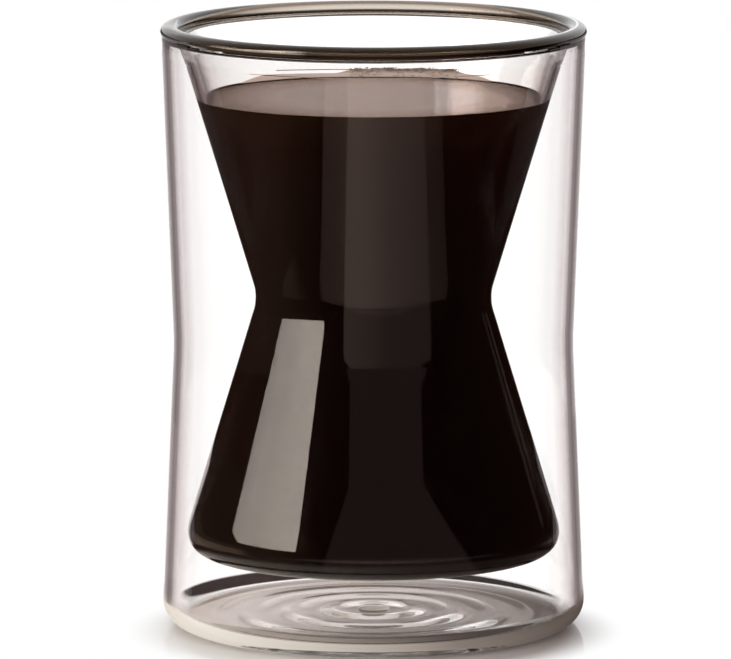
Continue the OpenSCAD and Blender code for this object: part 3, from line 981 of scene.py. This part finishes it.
    # Where the mirrored board is not there
    off_middle = add_node(
        tree, "ShaderNodeMath", {"operation": "SUBTRACT", 1: board_middle}, {0: across["X"]})
    half_span = add_node(tree, "ShaderNodeMath", {"operation": "ABSOLUTE"}, {0: off_middle.outputs["Value"]})
    gone = add_node(tree, "ShaderNodeMapRange", board_end, {"Value": half_span.outputs["Value"]})
    behind = add_node(tree, "ShaderNodeMapRange", board_back, {"Value": across["Y"]})
    past = add_node(tree, "ShaderNodeMath", MULTIPLY, {0: behind.outputs["Result"], 1: board})
    off_arch = add_node(tree, "ShaderNodeVectorMath", {"operation": "SUBTRACT", 1: arch_centre}, {0: place})
    arch_r = add_node(tree, "ShaderNodeVectorMath", {"operation": "LENGTH"}, {0: off_arch.outputs["Vector"]})
    under_arch = add_node(tree, "ShaderNodeMapRange", arch_edge, {"Value": arch_r.outputs["Value"]})
    far_arch = add_node(
        tree, "ShaderNodeMath", MULTIPLY, {0: under_arch.outputs["Result"], 1: board})
    on_vessel = add_node(
        tree, "ShaderNodeMath", {"operation": "COMPARE", 1: VESSEL_SKINS, 2: 0.5},
        {0: path["Transmission Depth"]})
    arched = add_node(
        tree, "ShaderNodeMath", MULTIPLY,
        {0: far_arch.outputs["Value"], 1: on_vessel.outputs["Value"]})
    outer = add_node(
        tree, "ShaderNodeMath", {"operation": "MAXIMUM"},
        {0: gone.outputs["Result"], 1: past.outputs["Value"]})
    hidden = add_node(
        tree, "ShaderNodeMath", {"operation": "MAXIMUM"},
        {0: outer.outputs["Value"], 1: arched.outputs["Value"]})
    clear = add_node(tree, "ShaderNodeBsdfTransparent")
    mirrored = add_node(
        tree, "ShaderNodeMixShader",
        links={"Fac": hidden.outputs["Value"], 1: warm.outputs["Emission"], 2: clear.outputs["BSDF"]})

    seen = add_node(
        tree, "ShaderNodeMixShader",
        links={"Fac": path["Glossy Depth"], 1: plain.outputs["Shader"], 2: mirrored.outputs["Shader"]})
    add_node(tree, "ShaderNodeOutputMaterial", links={"Surface": seen.outputs["Shader"]})
    return material


class GLASSCUP_OT_stage(bpy.types.Operator):
    """Set up the floor, the white studio with its screens of light, and the camera"""

    bl_idname = "glasscup.stage"
    bl_label = "Stage"

    def execute(self, context):
        scene = context.scene
        bm = bmesh.new()
        bmesh.ops.create_circle(bm, cap_ends=True, segments=96, radius=200 * MM)
        stage_object("floor", bm, floor_material())
        studio_world()

        # A softbox for the tall pale patch on the lower bowl, a window for the bands down the middle, and the
        # room's left wall
        screen("softbox", (-98, -48.5), (200, 620), 1000, "#fff2e6", 9.2,
               profile=((0, 0.45), (0.2, 0.68), (0.4, 0.73), (0.6, 0.88), (1, 1)), streaks=0.15)
        screen("window", (-18.9, 36.8), (-700, -455), 3000, "#ffdfd0", 0.34, top_turns=(-13.3, 26.4),
               profile=((0, 1), (0.35, 0.72), (0.5, 0.5), (1, 0.42)))
        screen("window_low", (-30, 57), (-4, 19), 210, "#ffd8cc", 0.11, top_turns=(-12.8, 26.5))
        screen("window_mid", (-16, 31), (-455, -135), 3000, "#ffd8cc", 0.11, top_turns=(-12.9, 26.5))
        screen("wall_left", (-150, -30), (-400, -80), 1100, "#ffc4a0", 0.13, on_vessel=False,
               profile=((0, 0.3), (0.5, 0.6), (0.68, 1), (0.8, 0.95), (0.9, 0.5), (1, 0.25)))
        screen("wall_low", (-150, -52), (-80, 60), 1100, "#ffb090", 0.08, on_vessel=False)
        # Pale boards behind the cup, and small ones that only the vessel's outside and the base's floor show
        screen("backdrop", (166, 194), (-600, 350), 1000, "#ffffff", 1.1)
        screen("backdrop_left", (194, 240), (-300, 50), 1000, "#fff0f0", 0.4, on_vessel=False)
        screen("backdrop_right", (120, 166), (-300, 50), 1000, "#fff0f0", 0.4, on_vessel=False)
        screen("backdrop_base", (135, 225), (-5, 28), 100, "#fff4f2", 1.1, on_vessel=True,
               profile=((0, 0.2), (0.28, 0.28), (0.5, 0.5), (0.7, 1), (1, 1)))
        corner = ((0, 0.3), (0.12, 0.4), (0.5, 0.8), (0.8, 1), (1, 0))
        screen("corner_high", (-125, -66), (15.5, 24), 100, "#ffdcc0", 0.16, on_vessel=True, profile=corner)
        screen("corner_low", (-125, -66), (-4, 15.5), 100, "#ffdcc0", 0.75, on_vessel=True, profile=corner)
        # A doorway and two slats behind the cup, for the coffee's surface
        screen("doorway", (174.9, 177.6), (200, 340), 990, "#f8fbff", 1.6)
        screen("doorway_middle", (175.5, 177), (200, 340), 980, "#f8fbff", 2)
        screen("slat_near", (126.5, 130.5), (60, 220), 1000, "#ffe4d0", 0.1)
        screen("slat_far", (134.5, 138), (60, 220), 1000, "#ffe4d0", 0.14)

        # The camera stands before the cup and a little above it, and looks at this place with a long lens
        aim, distance, elevation = Vector((-1.6 * MM, 0.0, 59.4 * MM)), 1600 * MM, math.radians(8.8)
        lens = bpy.data.cameras.new("camera")
        lens.lens = 394.0
        lens.sensor_width = 36.0
        camera = bpy.data.objects.new("camera", lens)
        scene.collection.objects.link(camera)
        camera.location = aim + distance * Vector((0.0, -math.cos(elevation), math.sin(elevation)))
        camera.rotation_euler = (aim - camera.location).to_track_quat("-Z", "Y").to_euler()
        scene.camera = camera
        return {"FINISHED"}


class GLASSCUP_PT_panel(bpy.types.Panel):
    """Lists the operators that model the cup"""

    bl_label = "Glass Cup"
    bl_idname = "GLASSCUP_PT_panel"
    bl_space_type = "VIEW_3D"
    bl_region_type = "UI"
    bl_category = "Glass Cup"

    def draw(self, context):
        for operator in OPERATORS:
            self.layout.operator(operator.bl_idname)


OPERATORS = (
    GLASSCUP_OT_jacket,
    GLASSCUP_OT_vessel,
    GLASSCUP_OT_rim,
    GLASSCUP_OT_base,
    GLASSCUP_OT_coffee,
    GLASSCUP_OT_foam,
    GLASSCUP_OT_stage,
)
CLASSES = (CupSizes, CupColours) + OPERATORS + (GLASSCUP_PT_panel,)


def register():
    for cls in CLASSES:
        bpy.utils.register_class(cls)
    bpy.types.Scene.cup_sizes = bpy.props.PointerProperty(type=CupSizes)
    bpy.types.Scene.cup_colours = bpy.props.PointerProperty(type=CupColours)


def unregister():
    del bpy.types.Scene.cup_colours
    del bpy.types.Scene.cup_sizes
    for cls in reversed(CLASSES):
        bpy.utils.unregister_class(cls)


def main():
    register()
    scene = bpy.context.scene
    scene.view_settings.view_transform = "Standard"
    scene.cycles.max_bounces = 24
    scene.cycles.transmission_bounces = 24
    scene.cycles.glossy_bounces = 12
    scene.cycles.transparent_max_bounces = 24
    bpy.ops.glasscup.jacket()
    bpy.ops.glasscup.vessel()
    bpy.ops.glasscup.rim()
    bpy.ops.glasscup.base()
    bpy.ops.glasscup.coffee()
    bpy.ops.glasscup.foam()
    bpy.ops.glasscup.stage()


if __name__ == "__main__":
    main()
